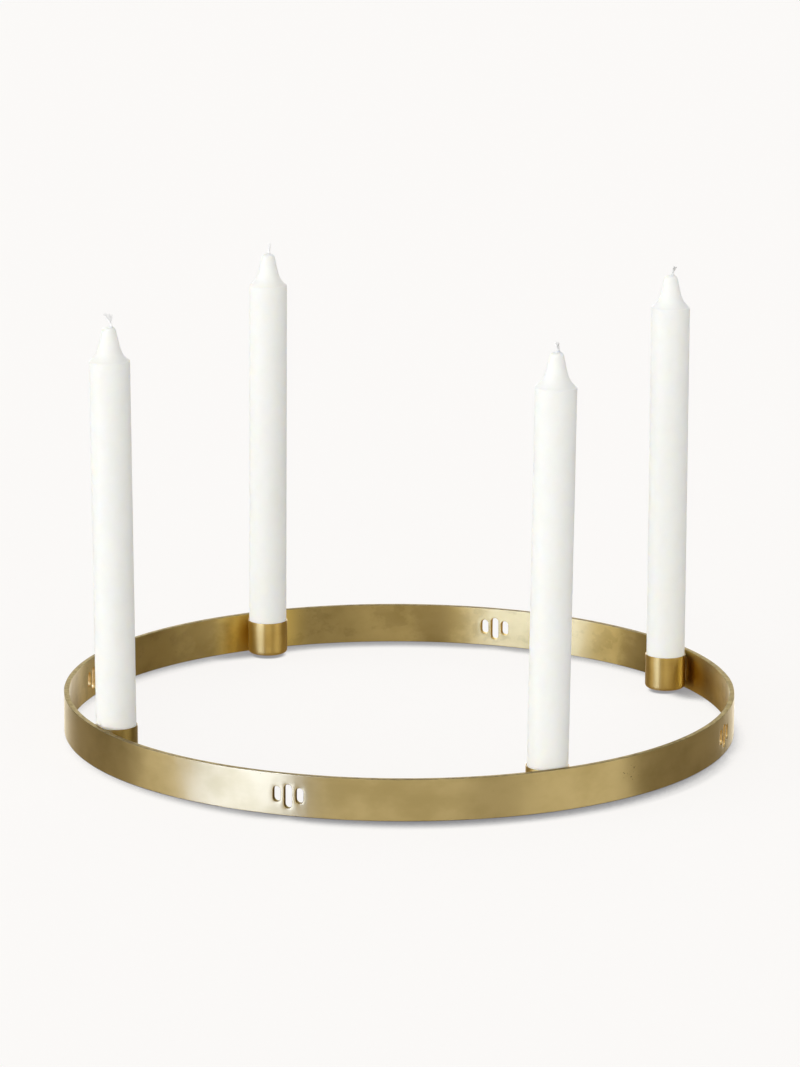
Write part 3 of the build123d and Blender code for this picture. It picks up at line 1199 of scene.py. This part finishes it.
def wick_place(top, heading, lean, along):
    """The place on the wick's line at a length above the crown, and its direction there."""
    turned_by = min(along / BEND_RADIUS, lean)
    over = level(heading)
    place = top + over * BEND_RADIUS * (1 - math.cos(turned_by))
    place = place + Vector((0, 0, BEND_RADIUS * math.sin(turned_by)))
    direction = over * math.sin(turned_by) + Vector((0, 0, math.cos(turned_by)))
    straight = along - turned_by * BEND_RADIUS
    return place + direction * straight, direction


print("strand radius", STRAND_RADIUS)

# %% Wick sizes
WICK_HEADING = {"back_right": 18, "back_left": 18, "front_left": 198, "front_right": 198}
WICK_LEAN = {"back_right": 18, "back_left": 4, "front_left": 14, "front_right": 10}
WICK_FREE = {"back_right": 0.0052, "back_left": 0.0068, "front_left": 0.0072, "front_right": 0.0056}
PLAIT_SHARE = {"back_right": 0.40, "back_left": 0.80, "front_left": 0.20, "front_right": 0.60}
FAN_WIDTH = {"back_right": 0.0012, "back_left": 0.0004, "front_left": 0.0024, "front_right": 0.0014}
STRANDS = 3
PLAIT_TURN = 25
YARNS = 8
YARN_RADIUS = 0.00013
YARN_POINTS = 6
YARN_UNEVEN = 0.25
FAN_STRAY = 0.3
FAN_DEPTH = 0.0007
FAN_CURL = 1.3
BUNDLE_WIDTH, BUNDLE_DEPTH = 0.8, 0.0002
SUNK = 0.004
YARN_SEED = 7
print("yarns to a wick", STRANDS * YARNS)

# %% Wicks
noise.seed_set(YARN_SEED)
wicks = {}
wick_feet = {}
for station in STATIONS:
    foot, _, _ = foot_of(f"candle_{station}")
    heading = WICK_HEADING[station]
    lean = math.radians(WICK_LEAN[station])
    free = WICK_FREE[station]
    plaited = free * PLAIT_SHARE[station]
    crown_height = crown_of(station)
    top = foot + Vector((0, 0, crown_height)) + aside(station, crown_height)
    wide = level(heading + PLAIT_TURN)
    heights = [crown_height * s / CORE_POINTS for s in range(CORE_POINTS + 1)]
    core = [foot + Vector((0, 0, h)) + aside(station, h) for h in heights]
    strands = [path_piece(core, CORE_RADIUS)]
    for number in range(STRANDS):
        places = []
        for i in range(round((plaited + SUNK) / KNOT_STEP) + 1):
            along = i * KNOT_STEP - SUNK
            centre, direction = wick_place(top, heading, lean, max(along, 0))
            if along < 0:
                centre = centre + aside(station, crown_height + along) - aside(station, crown_height)
                centre.z += along
            phase = math.tau * (along / WEAVE_PITCH + number / STRANDS)
            thick = direction.cross(wide).normalized()
            across = wide * WEAVE_WIDTH * math.sin(phase) + thick * WEAVE_DEPTH * math.sin(2 * phase)
            places.append(centre + across)
        strand_end = across * BUNDLE_WIDTH
        strands.append(path_piece(places, STRAND_RADIUS))
        for yarn in range(YARNS):
            fan = (number + (yarn + 1 / 2) / YARNS) / (STRANDS / 2) - 1
            stray = noise.random_vector()
            line = []
            for i in range(YARN_POINTS):
                part = i / (YARN_POINTS - 1)
                reach = (free - plaited) * (1 + YARN_UNEVEN * stray.z) * part
                centre, direction = wick_place(top, heading, lean, plaited + reach - KNOT_STEP)
                thick = direction.cross(wide).normalized()
                spread = wide * (fan + FAN_STRAY * stray.x) * FAN_WIDTH[station]
                spread = spread + thick * stray.y * FAN_DEPTH
                start = strand_end + thick * stray.y * BUNDLE_DEPTH
                line.append(centre + start.lerp(spread, part ** FAN_CURL))
            strands.append(path_piece(line, YARN_RADIUS))
    deselect()
    for strand in strands:
        strand.select_set(True)
    bpy.context.view_layer.objects.active = strands[0]
    bpy.ops.object.join()
    wick = bpy.context.object
    wick.name = f"plaited_wick_{station}"
    wick.data.transform(tipping(station))
    bpy.ops.object.shade_smooth()
    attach(wick, f"candle_{station}")
    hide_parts(f"wick_{station}")
    wicks[station] = wick
    wick_feet[station] = tipping(station) @ top
print(len(wicks), "wicks of", len(wick.data.polygons), "faces")

# %% [markdown]
# ## Cotton
# New cotton is nearly white and rough, and greyer between its fibres. Two of the wicks are grey part
# of the way up. A mask by the distance from a spot on each of them gives that, and all four wicks
# share one finish.

# %% Wick finish
COTTON = (0.96, 0.955, 0.94, 1)
COTTON_GREY = (0.91, 0.905, 0.885, 1)
# Grey on two wicks, part of the way up.
GREY_PATCH = (0.66, 0.66, 0.64, 1)
GREY_PATCH_UP = {"back_right": 0.0040, "front_right": 0.0030}
GREY_PATCH_REACH = {"back_right": 0.0034, "front_right": 0.0016}
GREY_PATCH_CORE = 0.5
FIBRES = (5200, 5200, 1800)
FIBRE_LOW, FIBRE_HIGH = 0.38, 0.66
FIBRE_STRENGTH, FIBRE_DEPTH = 0.5, 0.0001
COTTON_ROUGHNESS, COTTON_ROUGHNESS_SPREAD = 0.80, 0.2


def cotton_finish(name):
    """Waxed cotton: pale, rough, and greyer between the fibres."""
    material, shader, place = new_finish(name)
    fibres = place.grain(FIBRES, detail=3.0, roughness=0.6)
    colour = fibres.step(FIBRE_LOW, FIBRE_HIGH).blend(COTTON, COTTON_GREY)
    for station, rise in GREY_PATCH_UP.items():
        away = place.distance(wick_feet[station] + Vector((0, 0, rise)))
        reach = GREY_PATCH_REACH[station]
        colour = (1 - away.step(GREY_PATCH_CORE * reach, reach)).blend(colour, GREY_PATCH)
    feed(
        shader,
        Base_Color=colour,
        Roughness=COTTON_ROUGHNESS + COTTON_ROUGHNESS_SPREAD * fibres.centred(),
        Normal=fibres.bump(FIBRE_STRENGTH, FIBRE_DEPTH),
    )
    return material


cotton = cotton_finish("Plaited cotton")
for wick in wicks.values():
    wick.data.materials.append(cotton)
print("wick finish", cotton.name)
